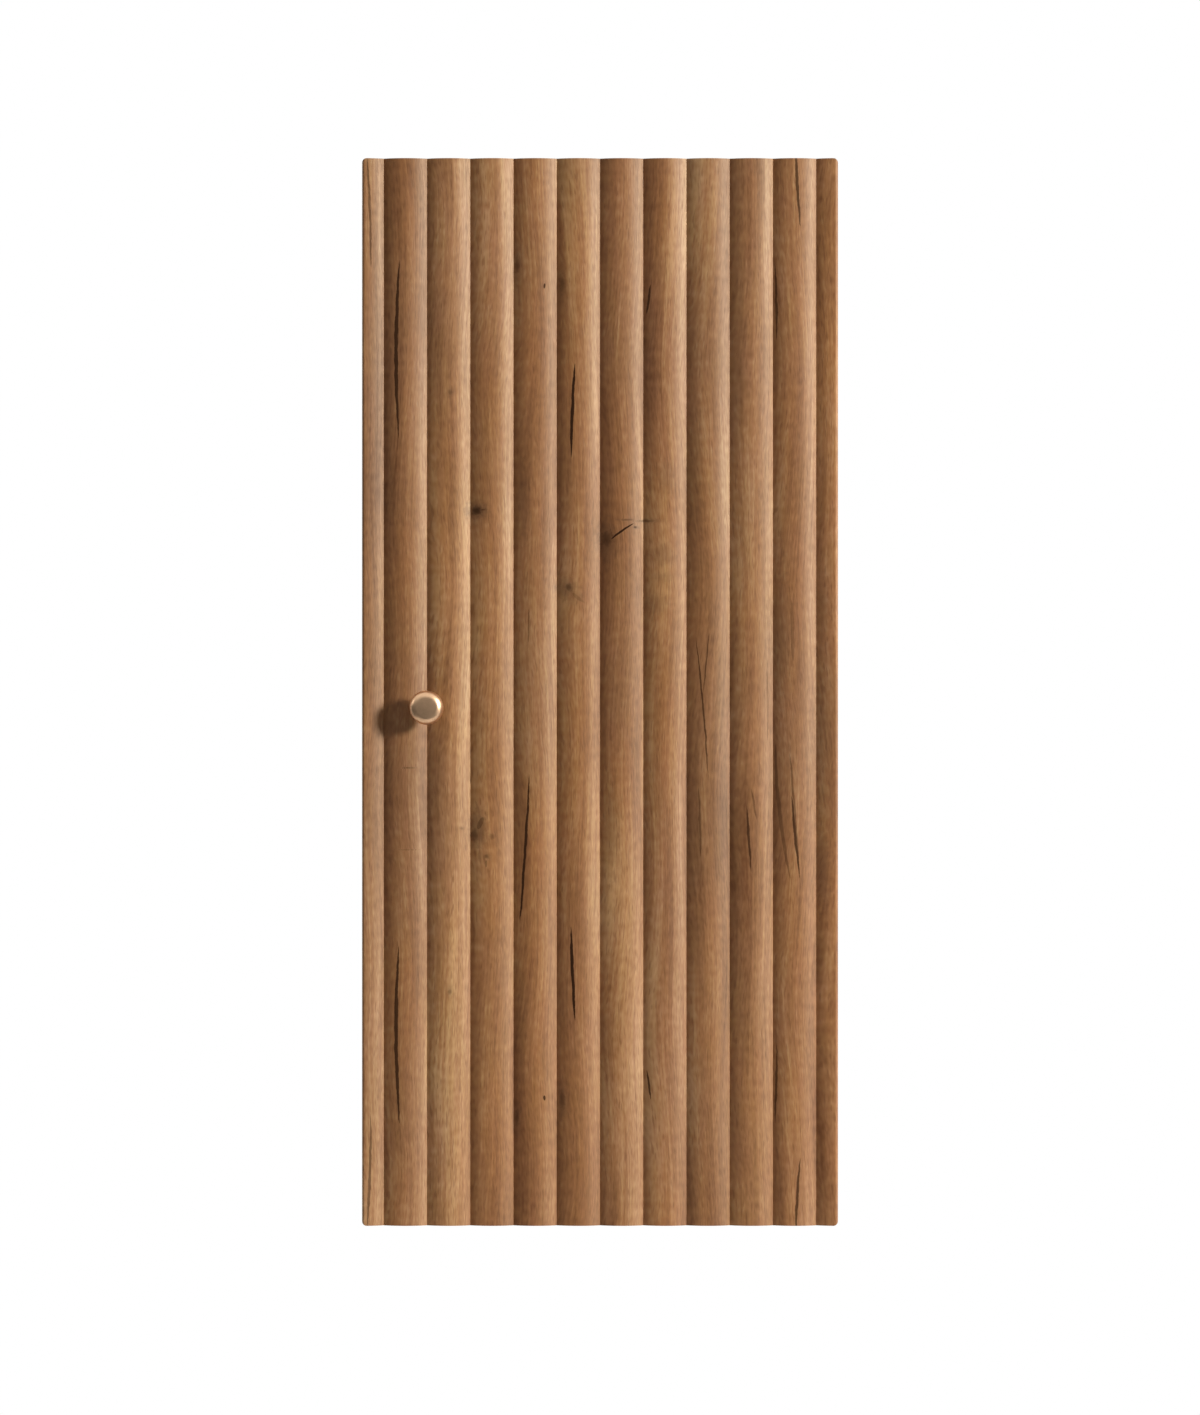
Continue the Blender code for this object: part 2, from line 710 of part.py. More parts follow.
def hinge_arm(side, height, cabinet):
    foot = board + fit + plate_thickness + fit
    top = foot + arm_height
    nose_top = pin_a[0] + arm_nose_radius
    outline = [(foot, -arm_rear), (top, -arm_rear), (top, -arm_crank_rear), (nose_top, -arm_crank_front),
               (nose_top, -arm_web_front)]
    outline += arc(pin_b, link_boss_radius, 0, 180, 8)
    outline += [(pin_a[0] - link_boss_radius, pin_a[1]), (foot, -arm_crank_rear)]
    mesh = slab("z", height - arm_half, height + arm_half, hinge_outline(outline))
    arm = add(side + "_hinge_arm", mesh, cabinet, NICKEL)
    inside = arm_half - arm_sheet
    pocket = [(board, -arm_rear - overrun), (top - arm_sheet, -arm_rear - overrun),
              (top - arm_sheet, -arm_crank_rear + arm_sheet / 2), (nose_top - arm_sheet, -arm_crank_front),
              (nose_top - arm_sheet, -arm_web_front), (nose_top + overrun, -arm_web_front),
              (nose_top + overrun, pin_b[1] + overrun), (board, pin_b[1] + overrun)]
    combine(arm, "DIFFERENCE", slab("z", height - inside, height + inside, hinge_outline(pocket)))
    holes = [rod(hinge_spot(height, *pin, -overrun), hinge_spot(height, *pin, overrun), rivet_radius + fit)
             for pin in (pin_a, pin_b)]
    combine(arm, "DIFFERENCE", joined(*holes))
    for letter, pin in {"rear": pin_a, "front": pin_b}.items():
        rivet = rod(hinge_spot(height, *pin, -arm_half), hinge_spot(height, *pin, arm_half), rivet_radius)
        add(f"{side}_{letter}_rivet", rivet, cabinet, STEEL)


def hinge_plate(side, height, cabinet):
    low = board + fit
    saddle_half = arm_half - arm_sheet - fit
    saddle_top = low + plate_thickness + fit + arm_height - arm_sheet - fit
    base = box(hinge_spot(height, low, -plate_rear, -plate_half),
               hinge_spot(height, low + plate_thickness, -plate_front, plate_half))
    plate = add(side + "_hinge_plate", base, cabinet, NICKEL)
    saddle = box(hinge_spot(height, low + plate_thickness / 2, -plate_rear, -saddle_half),
                 hinge_spot(height, saddle_top, -arm_crank_rear, saddle_half))
    combine(plate, "UNION", saddle)
    places = {"upper": plate_screw_half, "lower": -plate_screw_half}
    holes = [rod(hinge_spot(height, 0, -pin_line_front, z),
                 hinge_spot(height, low + 2 * plate_thickness, -pin_line_front, z), wood_screw_radius + fit)
             for z in places.values()]
    combine(plate, "DIFFERENCE", joined(*holes))
    for place, z in places.items():
        seat = hinge_spot(height, low + plate_thickness + fit, -pin_line_front, z)
        pan_screw(f"{side}_plate_screw_{place}", seat, "left", pan_head_radius, pan_head,
                  wood_screw_radius, plate_screw_length, cabinet)


# Wall rail and hangers

def hook_x(sign):
    return sign * (inner_half - fit - hanger_width / 2)


def hook_slot(sign, rear, front):
    """Two corners of the space that a hook needs over the height adjustment."""
    half = hook_sheet / 2 + hanger_slot_clearance
    top = rail_above + fit + hook_bridge
    x = hook_x(sign)
    low = top - hook_tongue - hanger_travel - hanger_slot_clearance
    high = top + hanger_travel + hanger_slot_clearance
    return (x - half, rear, low), (x + half, front, high)


def wall_rail(wall):
    lip_rear = -(rail_lip_offset - rail_sheet)
    profile = [(0, -rail_below), (0, rail_step), (lip_rear, rail_step), (lip_rear, rail_above),
               (-rail_lip_offset, rail_above), (-rail_lip_offset, rail_step - rail_sheet),
               (-rail_sheet, rail_step - rail_sheet), (-rail_sheet, -rail_below)]
    half = inner_half - rail_end_gap
    rail = add("wall_rail", slab("x", -half, half, profile), wall, STEEL)
    holes = [rod((x, rail_sheet, -rail_hole_drop), (x, -2 * rail_sheet, -rail_hole_drop), rail_hole_radius)
             for x in rail_hole_places]
    combine(rail, "DIFFERENCE", joined(*holes))


def hanger(side, wall, cabinet):
    sign = side_signs[side]
    x = hook_x(sign)
    top = rail_above + fit + hook_bridge
    tail_front = -(rail_lip_offset - rail_sheet) + fit
    outline = [(tail_front, hook_drop), (tail_front + hook_tail, hook_drop), (tail_front + hook_tail, top),
               (-hook_reach, top), (-hook_reach, top - hook_tongue),
               (-rail_lip_offset - fit, top - hook_tongue), (-rail_lip_offset - fit, rail_above + fit),
               (tail_front, rail_above + fit)]
    add(side + "_hanger_hook", slab("x", x - hook_sheet / 2, x + hook_sheet / 2, outline), wall, STEEL)

    rear = back_front - fit
    front = rear - hanger_depth
    high = ceiling - fit
    wall_side = sign * (inner_half - fit)
    housing = add(side + "_hanger_housing",
                  box((wall_side, rear, high - hanger_height), (wall_side - sign * hanger_width, front, high)),
                  cabinet, PLASTIC)
    pegs = [rod((x, y, z), (wall_side + sign * hanger_peg, y, z), hanger_peg_radius, 16)
            for y, z in hanger_peg_places()]
    combine(housing, "UNION", joined(*pegs))
    combine(housing, "DIFFERENCE", box(*hook_slot(sign, 0, -hook_reach - hanger_slot_clearance)))
    screw_z = high - hanger_screw_drop
    screw_hole = rod((x, front - fit, screw_z), (x, front + hanger_screw_length, screw_z),
                     hanger_screw_radius + fit)
    combine(housing, "DIFFERENCE", screw_hole)
    pan_screw(side + "_hanger_screw", (x, front - fit, screw_z), "front", hanger_screw_head, pan_head,
              hanger_screw_radius, hanger_screw_length, cabinet)


def build():
    wall = empty("wall_mount", (0, 0, 0))
    cabinet = empty("cabinet", (0, 0, 0), wall)
    wall_rail(wall)
    for side in side_signs:
        side_panel(side, cabinet)
        hanger(side, wall, cabinet)
    end_board("top_panel", ceiling, cabinet_top, cabinet)
    end_board("bottom_panel", floor_top, cabinet_bottom, cabinet)
    back_panel(cabinet)
    dowels(cabinet)
    shelves(cabinet)

    middle = (hinge_heights["upper"] + hinge_heights["lower"]) / 2
    inner_links = empty("inner_links", hinge_spot(middle, *pin_a), cabinet)
    outer_links = empty("outer_links", hinge_spot(middle, *pin_b), cabinet)
    door = empty("door", hinge_spot(middle, *pin_c), inner_links)
    for side, height in hinge_heights.items():
        hinge_plate(side, height, cabinet)
        hinge_arm(side, height, cabinet)
        inner_link(side + "_inner_link", height, inner_links)
        outer_link(side + "_outer_link", height, outer_links)
        cup(side, height, door)
    door_panel(door)
    knob(door)
    bumpers(door)


build()
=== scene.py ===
import json
import math

import bmesh
import bpy
from mathutils import Matrix, Vector

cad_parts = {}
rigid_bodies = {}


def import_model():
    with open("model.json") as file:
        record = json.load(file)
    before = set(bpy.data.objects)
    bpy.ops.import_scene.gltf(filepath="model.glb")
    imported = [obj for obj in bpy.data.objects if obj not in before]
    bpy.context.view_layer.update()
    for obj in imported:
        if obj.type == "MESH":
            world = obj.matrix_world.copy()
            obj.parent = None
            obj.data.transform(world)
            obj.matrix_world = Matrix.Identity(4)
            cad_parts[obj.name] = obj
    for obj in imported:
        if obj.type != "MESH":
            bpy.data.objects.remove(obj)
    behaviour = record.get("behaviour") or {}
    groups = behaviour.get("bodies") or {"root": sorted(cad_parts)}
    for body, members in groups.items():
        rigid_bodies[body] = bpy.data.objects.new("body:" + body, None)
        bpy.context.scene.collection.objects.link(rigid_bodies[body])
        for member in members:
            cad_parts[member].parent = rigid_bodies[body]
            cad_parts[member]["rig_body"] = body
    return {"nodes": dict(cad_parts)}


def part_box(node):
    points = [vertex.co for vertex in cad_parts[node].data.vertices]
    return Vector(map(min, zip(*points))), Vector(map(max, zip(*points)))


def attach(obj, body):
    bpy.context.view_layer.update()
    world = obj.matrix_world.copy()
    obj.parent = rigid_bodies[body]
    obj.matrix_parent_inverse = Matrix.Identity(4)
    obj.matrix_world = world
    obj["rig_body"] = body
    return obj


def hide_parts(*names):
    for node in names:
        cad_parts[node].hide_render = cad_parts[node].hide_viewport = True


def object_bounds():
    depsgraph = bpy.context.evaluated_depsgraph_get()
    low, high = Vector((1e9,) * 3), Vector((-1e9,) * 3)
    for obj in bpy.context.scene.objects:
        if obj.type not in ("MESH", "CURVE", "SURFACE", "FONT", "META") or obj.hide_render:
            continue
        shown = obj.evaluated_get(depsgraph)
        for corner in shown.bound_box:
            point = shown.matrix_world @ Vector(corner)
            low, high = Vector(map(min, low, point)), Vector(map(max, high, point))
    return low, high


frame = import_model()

# Wall cabinet with one reeded oak door. Metres, +Z up, the front is towards -Y.
MM = 0.001
cad_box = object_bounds()
weld_distance = 0.001 * MM
near = 0.01 * MM                    # closer than this counts as touching

# Door
reed_count = 11                     # ten whole reeds and a half reed at each edge
reed_depth = 5 * MM
reed_facets = 24
door_corner_radius = 3.5 * MM
door_edge_round = 2.2 * MM          # of the face's left and right edges
edge_facets = 6
hole_clearance = 0.3 * MM
cup_screw_hole = 2.0 * MM           # radius
drill_overshoot = 2 * MM

# Knob, in mm. The outline has the radius, the height above the door and the rounding of each corner,
# from the middle of the face to the bottom of the bore.
knob_foot = 6.0                     # radius
knob_bore = 2.3                     # radius
knob_seat_margin = 0.6
knob_outline = [
    (0, 24.0, 0), (12.5, 23.6, 5.8), (12.5, 16.4, 1.6), (8.6, 14.0, 3.0), (4.8, 9.0, 3.5),
    (4.8, 4.4, 3.0), (knob_foot, 1.2, 0.8), (knob_foot, 0, 0.3), (knob_bore, 0, 0),
    (knob_bore, 10.3, 0), (0, 10.3, 0),
]

# Carcass and fittings
board_round = 0.6 * MM
hinge_round = 0.25 * MM
sheet_round = 0.4 * MM              # of the wall rail and the hooks
plastic_round = 0.7 * MM
screw_head = 2.2 * MM
thread_pitch = 1.2 * MM
hinge_shank = 1.7 * MM              # radius of a hinge screw's shank
knob_shank = 2.0 * MM
hanger_shank = 2.4 * MM

# A shelf pin in the same form as the knob, from its nose to the bottom of its hole
pin_outline = [
    (0, 19, 0), (2.6, 19, 0.8), (2.6, 11.0, 0.3), (4.2, 11.0, 0.3), (4.2, 9.8, 0.3), (2.35, 9.8, 0.1),
    (2.35, 0, 0.8), (0, 0, 0),
]

# Camera
camera_drop = 11.4 * MM             # below the door's middle
camera_distance = 4.5               # to the crests of the reeds
picture_height = 1.0402             # what the camera takes in at the crests

# Light
ambient_light = 0.165               # from all around, where 1 is white
room_light = 0.10                   # the room in front, as gloss shows it

# Floor
floor_drop = 0.6                    # below the cabinet
floor_size = 2.9
floor_glow = 0.65                   # how much of it is plain white to the camera in the middle


# Nodes

class Wire:
    """An output socket. Sums and products of wires add their Math nodes."""

    def __init__(self, nodes, socket):
        self.nodes = nodes
        self.socket = socket

    def math(self, operation, *others):
        return self.nodes.math(operation, self, *others)

    def __add__(self, other):
        return self.math("ADD", other)

    def __radd__(self, other):
        return self.math("ADD", other)

    def __sub__(self, other):
        return self.math("SUBTRACT", other)

    def __rsub__(self, other):
        return self.nodes.math("SUBTRACT", other, self)

    def __mul__(self, other):
        return self.math("MULTIPLY", other)

    def __rmul__(self, other):
        return self.math("MULTIPLY", other)

    def __truediv__(self, other):
        return self.math("DIVIDE", other)

    def __pow__(self, other):
        return self.math("POWER", other)

    def __abs__(self):
        return self.math("ABSOLUTE")

    def rise(self, low, high):
        """0 at low and 1 at high, with a soft start and end; high may be the lower one."""
        return self.nodes.add("ShaderNodeMapRange", {"interpolation_type": "SMOOTHSTEP"},
                              {"Value": self, "From Min": low, "From Max": high})

    def share(self, low, high):
        """How far it is from low to high, held between 0 and 1."""
        return self.nodes.add("ShaderNodeMapRange", {},
                              {"Value": self, "From Min": low, "From Max": high})


class Nodes:
    """The nodes of a material or of the world."""

    def __init__(self, tree):
        self.tree = tree

    def add(self, kind, settings, inputs, output=None):
        node = self.tree.nodes.new(kind)
        for name, value in settings.items():
            setattr(node, name, value)
        for name, value in inputs.items():
            self.plug(node, name, value)
        if output is None:
            socket = next((o for o in node.outputs if o.enabled), None)
        else:
            socket = node.outputs[output]
        return Wire(self, socket)

    def plug(self, node, name, value):
        """Set or link an input, which is named, or numbered among those in use."""
        if isinstance(name, int):
            socket = node.inputs[name]
        else:
            socket = next(s for s in node.inputs if s.name == name and s.enabled)
        if isinstance(value, Wire):
            self.tree.links.new(value.socket, socket)
        elif isinstance(value, tuple) and socket.type == "RGBA":
            socket.default_value = (*value, 1)
        else:
            socket.default_value = value

    def math(self, operation, *values):
        return self.add("ShaderNodeMath", {"operation": operation}, dict(enumerate(values)))

    def vector(self, x, y, z):
        return self.add("ShaderNodeCombineXYZ", {}, {"X": x, "Y": y, "Z": z})

    def blend(self, share, first, second):
        """Two colours mixed; the share is how much of the second one shows."""
        return self.add("ShaderNodeMix", {"data_type": "RGBA"},
                        {"Factor": share, "A": first, "B": second}, output="Result")

    def tinted(self, colour, tint, share=1.0):
        return self.add("ShaderNodeMix", {"data_type": "RGBA", "blend_type": "MULTIPLY"},
                        {"Factor": share, "A": colour, "B": tint}, output="Result")

    def noise(self, place, detail=2.0, roughness=0.5):
        return self.add("ShaderNodeTexNoise", {}, {"Vector": place, "Scale": 1.0, "Detail": detail,
                                                   "Roughness": roughness})


class Finish(Nodes):
    """A material with one shader, whose constants are set on the shader itself."""

    def __init__(self, name, constants):
        self.material = bpy.data.materials.new(name)
        self.material.use_nodes = True
        super().__init__(self.material.node_tree)
        self.shader = self.tree.nodes["Principled BSDF"]
        for socket, value in constants.items():
            self.plug(self.shader, socket, value)
        self.place = self.add("ShaderNodeTexCoord", {}, {}, output="Object")
        split = self.add("ShaderNodeSeparateXYZ", {}, {"Vector": self.place}).socket.node
        self.x, self.y, self.z = (Wire(self, split.outputs[axis]) for axis in "XYZ")

    def steps(self, size):
        """The place counted in steps of a size."""
        return self.add("ShaderNodeVectorMath", {"operation": "SCALE"},
                        {"Vector": self.place, "Scale": 1 / size})

    def colour(self, value):
        self.plug(self.shader, "Base Color", value)

    def roughness(self, value):
        self.plug(self.shader, "Roughness", value)

    def relief(self, height, depth):
        """Bumps whose full height is the depth in metres."""
        bump = self.add("ShaderNodeBump", {},
                        {"Strength": 1.0, "Distance": depth, "Height": height})
        self.plug(self.shader, "Normal", bump)

    def cover(self, share, shader):
        """Show another shader in place of the first one, by its share."""
        first = Wire(self, self.shader.outputs[0])
        both = self.add("ShaderNodeMixShader", {}, {0: share, 1: first, 2: shader})
        output = next(node for node in self.tree.nodes if node.type == "OUTPUT_MATERIAL")
        self.plug(output, "Surface", both)


# Oak

oak_deep = (0.142, 0.047, 0.013)
oak_middle = (0.291, 0.126, 0.0485)
oak_pale = (0.490, 0.280, 0.134)
oak_stain = (0.085, 0.034, 0.014)
oak_mark = (0.034, 0.014, 0.006)
oak_gloss = (1.0, 0.96, 0.77)

# Tints of the single reeds, from the left edge to the right. The last and lightest one is painted
# light: it brightens the right half reed as if the lamp lit it more.
reed_tints_with_painted_light = [
    (1.00, 1.05, 1.11),
    (0.98, 0.98, 0.98),
    (1.16, 1.23, 1.28),
    (1.11, 1.13, 1.12),
    (1.01, 0.98, 0.91),
    (0.98, 0.95, 0.90),
    (1.00, 0.99, 0.98),
    (0.99, 0.98, 1.00),
    (0.97, 0.99, 1.01),
    (1.06, 1.10, 1.13),
    (1.06, 1.07, 1.12),
    (1.24, 1.26, 1.28),
]

# Cracks of the door's decor in mm from the door's middle: x and height of the upper end, x and
# height of the lower end, bow to the left, width, and how dark it is. The decor repeats the
# first list upside down in the door's lower half.
mirrored_cracks = [
    (-147.4, 318, -148.0, 186, 2.2, 2.3, 0.90),
    (-18.4, 242, -21.3, 172, 0.4, 2.0, 1.00),
    (37.5, 300, 34.3, 278, 0.0, 1.3, 0.80),
    (143.6, 402, 147.2, 342, 0.4, 1.6, 0.80),
    (128.6, 318, 130.0, 258, -0.5, 1.2, 0.70),
    (-171.4, 396, -168.6, 310, -0.9, 1.4, 0.60),
    (-40.6, 300.5, -41.0, 296.5, 0.0, 1.2, 0.90),
]
single_cracks = [
    (-51.8, -60, -59.0, -171, -0.4, 1.6, 0.95),
    (70.3, 42, 79.6, -66, -1.0, 0.9, 0.75),
    (80.2, 44, 76.0, 0, 0.0, 0.7, 0.60),
    (107.8, -83, 111.0, -133, 0.0, 1.3, 0.80),
    (123.3, 27, 123.5, -35, 0.0, 0.7, 0.35),
    (140.8, -76, 147.1, -138, 0.3, 1.5, 0.85),
    (-52.3, 62, -52.6, 36, 0.0, 0.9, 0.45),
    (24.5, 124.2, 7.9, 112.2, 0.6, 2.4, 1.00),
    (-19.8, 72.9, -11.5, 65.6, 0.8, 3.4, 0.20),
    (-86.2, -92.0, -89.6, -101.0, 0.0, 3.4, 0.42),
    (-83.5, -123.5, -84.0, -129.0, 0.0, 1.0, 0.45),
    (72.4, -70, 74.2, -122, 0.0, 1.3, 0.50),
    (111.4, -71, 115.2, -94, 0.0, 1.1, 0.45),
    (129.0, -38, 140.0, -138, 2.5, 2.2, 0.40),
    (139.5, -44, 146.0, -122, 0.0, 1.2, 0.50),
    (141.0, 68, 142.0, 22, 0.0, 2.4, 0.28),
]

# Knots in mm from the door's middle: x, height, half width, half height, and how dark it is
mirrored_knots = [
    (-110.2, 220.4, 1.5, 2.0, 0.35),
    (-61.0, 314.0, 1.6, 6.0, 0.40),
    (-28.0, 300.0, 1.8, 7.0, 0.40),
]
single_knots = [
    (-90.5, 133.4, 3.6, 3.4, 0.80),
    (-86.2, 134.0, 2.2, 0.8, 0.60),
    (5.2, 112.6, 4.2, 5.4, 0.55),
    (19.5, 126.6, 3.4, 0.6, 0.45),
    (25.9, 121.3, 1.3, 0.7, 0.75),
    (33.5, 125.8, 6.0, 0.8, 0.45),
    (-22.6, 77.3, 2.6, 2.6, 0.60),
    (-92.0, -105.0, 2.7, 5.0, 0.46),
    (-79.3, -106.1, 1.9, 1.9, 0.35),
    (-83.4, -121.0, 2.0, 1.5, 0.42),
    (-101.6, -100.3, 0.9, 0.9, 0.30),
    (-140.5, -55.8, 4.6, 0.5, 0.40),
    (-142.8, -116.0, 6.0, 0.4, 0.25),
]

# Soft brown clouds, in the same form as the knots
clouds = [
    (-144.0, -30.0, 14.0, 125.0, 0.24),
    (-48.0, 0.0, 12.0, 80.0, 0.18),
    (167.0, -35.0, 9.0, 85.0, 0.40),
    (140.0, -80.0, 12.0, 70.0, 0.20),
    (-90.0, 132.0, 7.0, 9.0, 0.30),
    (-25.0, 76.0, 7.5, 7.0, 0.55),
    (-18.0, 70.0, 6.0, 4.5, 0.38),
    (6.0, 110.0, 6.0, 14.0, 0.52),
    (-55.5, 141.0, 4.0, 26.0, 0.34),
    (69.0, 140.0, 6.0, 55.0, 0.26),
    (16.0, 0.0, 8.0, 42.0, 0.24),
    (9.0, -98.0, 5.0, 30.0, 0.34),
    (133.0, 40.0, 7.0, 44.0, 0.38),
    (88.0, -100.0, 5.0, 34.0, 0.20),
    (23.0, 124.0, 8.0, 6.0, 0.22),
    (50.0, 158.0, 6.0, 10.0, 0.34),
    (46.0, 101.0, 8.0, 7.0, 0.38),
    (42.0, 65.0, 8.0, 6.0, 0.36),
    (48.0, 84.0, 7.0, 3.0, 0.28),
    (-90.0, -101.0, 6.0, 12.0, 0.66),
    (-79.0, -108.0, 5.0, 5.0, 0.22),
    (165.0, 57.0, 3.5, 20.0, 0.34),
    (164.0, -126.0, 5.0, 26.0, 0.55),
]

# The oak's lightness in layers: width and length of the streaks in mm, and how much each layer adds
grain_layers = [
    (45, 350, 0.48), (30, 110, 0.20), (12, 300, 0.32), (9, 120, 0.22), (5, 90, 0.20), (2.4, 110, 0.17),
    (1.5, 90, 0.22), (1.0, 60, 0.21), (9, 6, 0.18), (2.0, 8, 0.16), (1.1, 5, 0.26),
]
# The grain's sway in mm: width and length of the waves, and how far they reach
grain_sways = [(60, 160, 20), (9, 30, 1)]
pore_width = 0.8
pore_length = 8


def drawn_out(finish, across, along, width, length, seed):
    """A place counted in widths across the grain and lengths along it, both in mm."""
    return finish.vector(across / (width * MM), along / (length * MM), seed)


def grain(finish, across, along, seed):
    """The lightness of plain oak, about 0.5 on average, and its pores."""
    def streaks(line, width, length, number):
        return finish.noise(drawn_out(finish, line, along, width, length, seed + number), 0.0)

    swayed = across
    for number, (width, length, reach) in enumerate(grain_sways):
        swayed = swayed + (streaks(across, width, length, 0.4 * number + 0.2) - 0.5) * (reach * MM)
    light = 0.5 - sum(strength for _, _, strength in grain_layers) / 2
    for number, (width, length, strength) in enumerate(grain_layers):
        light = streaks(swayed, width, length, 1.37 * number + 1.3) * strength + light
    pores = streaks(swayed, pore_width, pore_length, 26.4).rise(0.62, 0.76)
    return light, pores


def oak_hue(finish, colour, across, along, seed):
    """Redder and greener, warmer and cooler, yellower and greyer patches."""
    red = finish.noise(drawn_out(finish, across, along, 12, 70, seed + 31.7), 3.0, 0.75)
    warm = finish.noise(drawn_out(finish, across, along, 50, 190, seed + 57.9), 1.0)
    yellow = finish.noise(drawn_out(finish, across, along, 7, 45, seed + 43.1), 3.0, 0.75)
    for tint in (finish.blend(red.share(0.35, 0.65), (1.02, 0.99, 0.98), (0.98, 1.01, 0.99)),
                 finish.blend(warm.share(0.3, 0.7), (1.03, 1.0, 0.88), (0.99, 1.0, 1.04)),
                 finish.blend(yellow.share(0.35, 0.65), (1.0, 1.0, 0.91), (1.0, 1.0, 1.04))):
        colour = finish.tinted(colour, tint)
    return colour


def oak_colour(finish, light):
    dark_side = finish.blend(light.share(0.1, 0.5), oak_deep, oak_middle)
    return finish.blend(light.share(0.5, 0.95), dark_side, oak_pale)


def crack_mask(x, z, crack):
    """A tapered line from its upper to its lower end."""
    top_x, top_z, low_x, low_z, bow, width, darkness = crack
    soft = 0.4 * MM
    way = z.share(top_z * MM, low_z * MM)
    swell = way * (1 - way) * 4
    line = way * ((low_x - top_x) * MM) + (top_x * MM) - swell * (bow * MM)
    half = swell ** 0.5 * (width / 2 * MM + soft) - soft / 2
    return (half - abs(x - line)).rise(-soft / 2, soft / 2) * darkness


def knot_reach(x, z, knot):
    """The distance from a knot's middle as a share of its size."""
    middle_x, middle_z, half_x, half_z, _ = knot
    sideways = (x - middle_x * MM) / (half_x * MM)
    upwards = (z - middle_z * MM) / (half_z * MM)
    return (sideways ** 2 + upwards ** 2) ** 0.5


def decor_marks(finish, x, z):
    """Masks of the dark marks and of the brown stains, and how far the knots push the grain aside."""
    wobble = finish.noise(drawn_out(finish, x, z, 4, 10, 0.7), 3.0, 0.6) - 0.5
    marked_x = x + wobble * (1.9 * MM)
    ragged = finish.noise(finish.steps(2.4 * MM), 2.0) * 1.4 + 0.3
    height = abs(z)
    marks = 0.0
    stain = 0.0
    push = 0.0
    for side_z, knots in ((height, mirrored_knots), (z, single_knots)):
        for knot in knots:
            middle_x, darkness = knot[0] * MM, knot[-1]
            reach = knot_reach(marked_x, side_z, knot)
            edge = reach * ragged
            marks = (edge.rise(1.5, 0.2) * darkness).math("MAXIMUM", marks)
            stain = (edge.rise(3.4, 0.5) * darkness).math("MAXIMUM", stain)
            push = (x - middle_x) * reach.rise(2.6, 0.2) * 0.3 + push
    for cloud in clouds:
        edge = knot_reach(marked_x, z, cloud) * ragged
        stain = (edge.rise(1.7, 0.4) * cloud[-1]).math("MAXIMUM", stain)
    for side_z, cracks in ((height, mirrored_cracks), (z, single_cracks)):
        for crack in cracks:
            marks = crack_mask(marked_x, side_z, crack).math("MAXIMUM", marks)
    return marks, stain, push


def reeded_oak():
    """Foil with an oak decor, wrapped over the reeds, its lower half repeating the upper one."""
    low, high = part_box("door_panel")
    pitch = (high.x - low.x) / reed_count
    finish = Finish("reeded_oak", {"Specular IOR Level": 0.6, "Specular Tint": oak_gloss})
    z = finish.z - (low.z + high.z) / 2
    x = finish.x
    marks, stain, push = decor_marks(finish, x, z)
    across = x + finish.y - push
    light, pores = grain(finish, across, z, 4.0)
    colour = oak_colour(finish, light)
    colour = oak_hue(finish, colour, across, z, 4.0)
    reed = ((x - low.x) / pitch + 0.5).math("FLOOR")
    # Each reed gets its own tint; the right half reed's tint is painted light, not a tone of the decor.
    for number, tint in enumerate(reed_tints_with_painted_light):
        here = reed.math("COMPARE", number, 0.5)
        colour = finish.tinted(colour, tint, here)
    colour = finish.blend(pores * 0.35, colour, oak_deep)
    finish.colour(finish.blend(stain * 0.7, colour, oak_stain))
    finish.roughness(0.56 - light * 0.12)
    finish.relief(light * 0.35 - pores * 0.25, 0.12 * MM)
    printed_mark = finish.add("ShaderNodeBsdfPrincipled", {},
                              {"Base Color": oak_mark, "Roughness": 0.9, "Specular IOR Level": 0.05})
    finish.cover(marks, printed_mark)
    return finish.material


def oak_board(name, along, seed):
    """A flat oak decor whose grain runs along one axis."""
    finish = Finish(name, {"Specular IOR Level": 0.35, "Specular Tint": oak_gloss})
    axes = {"x": finish.x, "y": finish.y, "z": finish.z}
    length = axes.pop(along)
    first, second = axes.values()
    light, pores = grain(finish, first + second, length, seed)
    colour = oak_hue(finish, oak_colour(finish, light), first + second, length, seed)
    finish.colour(finish.blend(pores * 0.35, colour, oak_deep))
    finish.roughness(0.60 - light * 0.12)
    finish.relief(light * 0.3 - pores * 0.3, 0.1 * MM)
    return finish.material


def raw_board(name, dark, light, chip):
    """Bare wood fibre or chips: the back panel's rear, and what shows in drilled holes."""
    finish = Finish(name, {"Roughness": 0.75})
    chips = finish.noise(finish.steps(chip), 5.0, 0.7)
    patches = finish.noise(finish.steps(60 * MM))
    finish.colour(finish.blend((chips * 0.7 + patches * 0.5).share(0.3, 0.9), dark, light))
    finish.relief(chips, 0.12 * MM)
    return finish.material


# Metals, plastics and beech

brass_dark = (0.71, 0.45, 0.262)
brass_bright = (0.84, 0.54, 0.325)
brass_speck = (0.42, 0.27, 0.16)


def brushed_brass():
    """Champagne brass, turned on a lathe and matted."""
    low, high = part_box("knob")
    finish = Finish("brushed_brass", {"Metallic": 1.0})
    sideways = finish.x - (low.x + high.x) / 2
    upwards = finish.z - (low.z + high.z) / 2
    from_axis = (sideways ** 2 + upwards ** 2) ** 0.5
    turning = finish.noise(finish.vector(from_axis / (0.16 * MM), finish.y / (0.3 * MM), 0.0), 2.0)
    cloud = finish.noise(finish.steps(4 * MM), 3.0)
    specks = finish.noise(finish.steps(0.45 * MM), 1.0).rise(0.66, 0.74)
    shade = (turning * 0.3 + cloud * 0.8).share(0.3, 0.8)
    colour = finish.blend(shade, brass_dark, brass_bright)
    finish.colour(finish.blend(specks * 0.3, colour, brass_speck))
    finish.roughness(0.34 + cloud * 0.06 + specks * 0.1)
    finish.relief(turning * 0.5 + specks * -0.3, 0.02 * MM)
    return finish.material


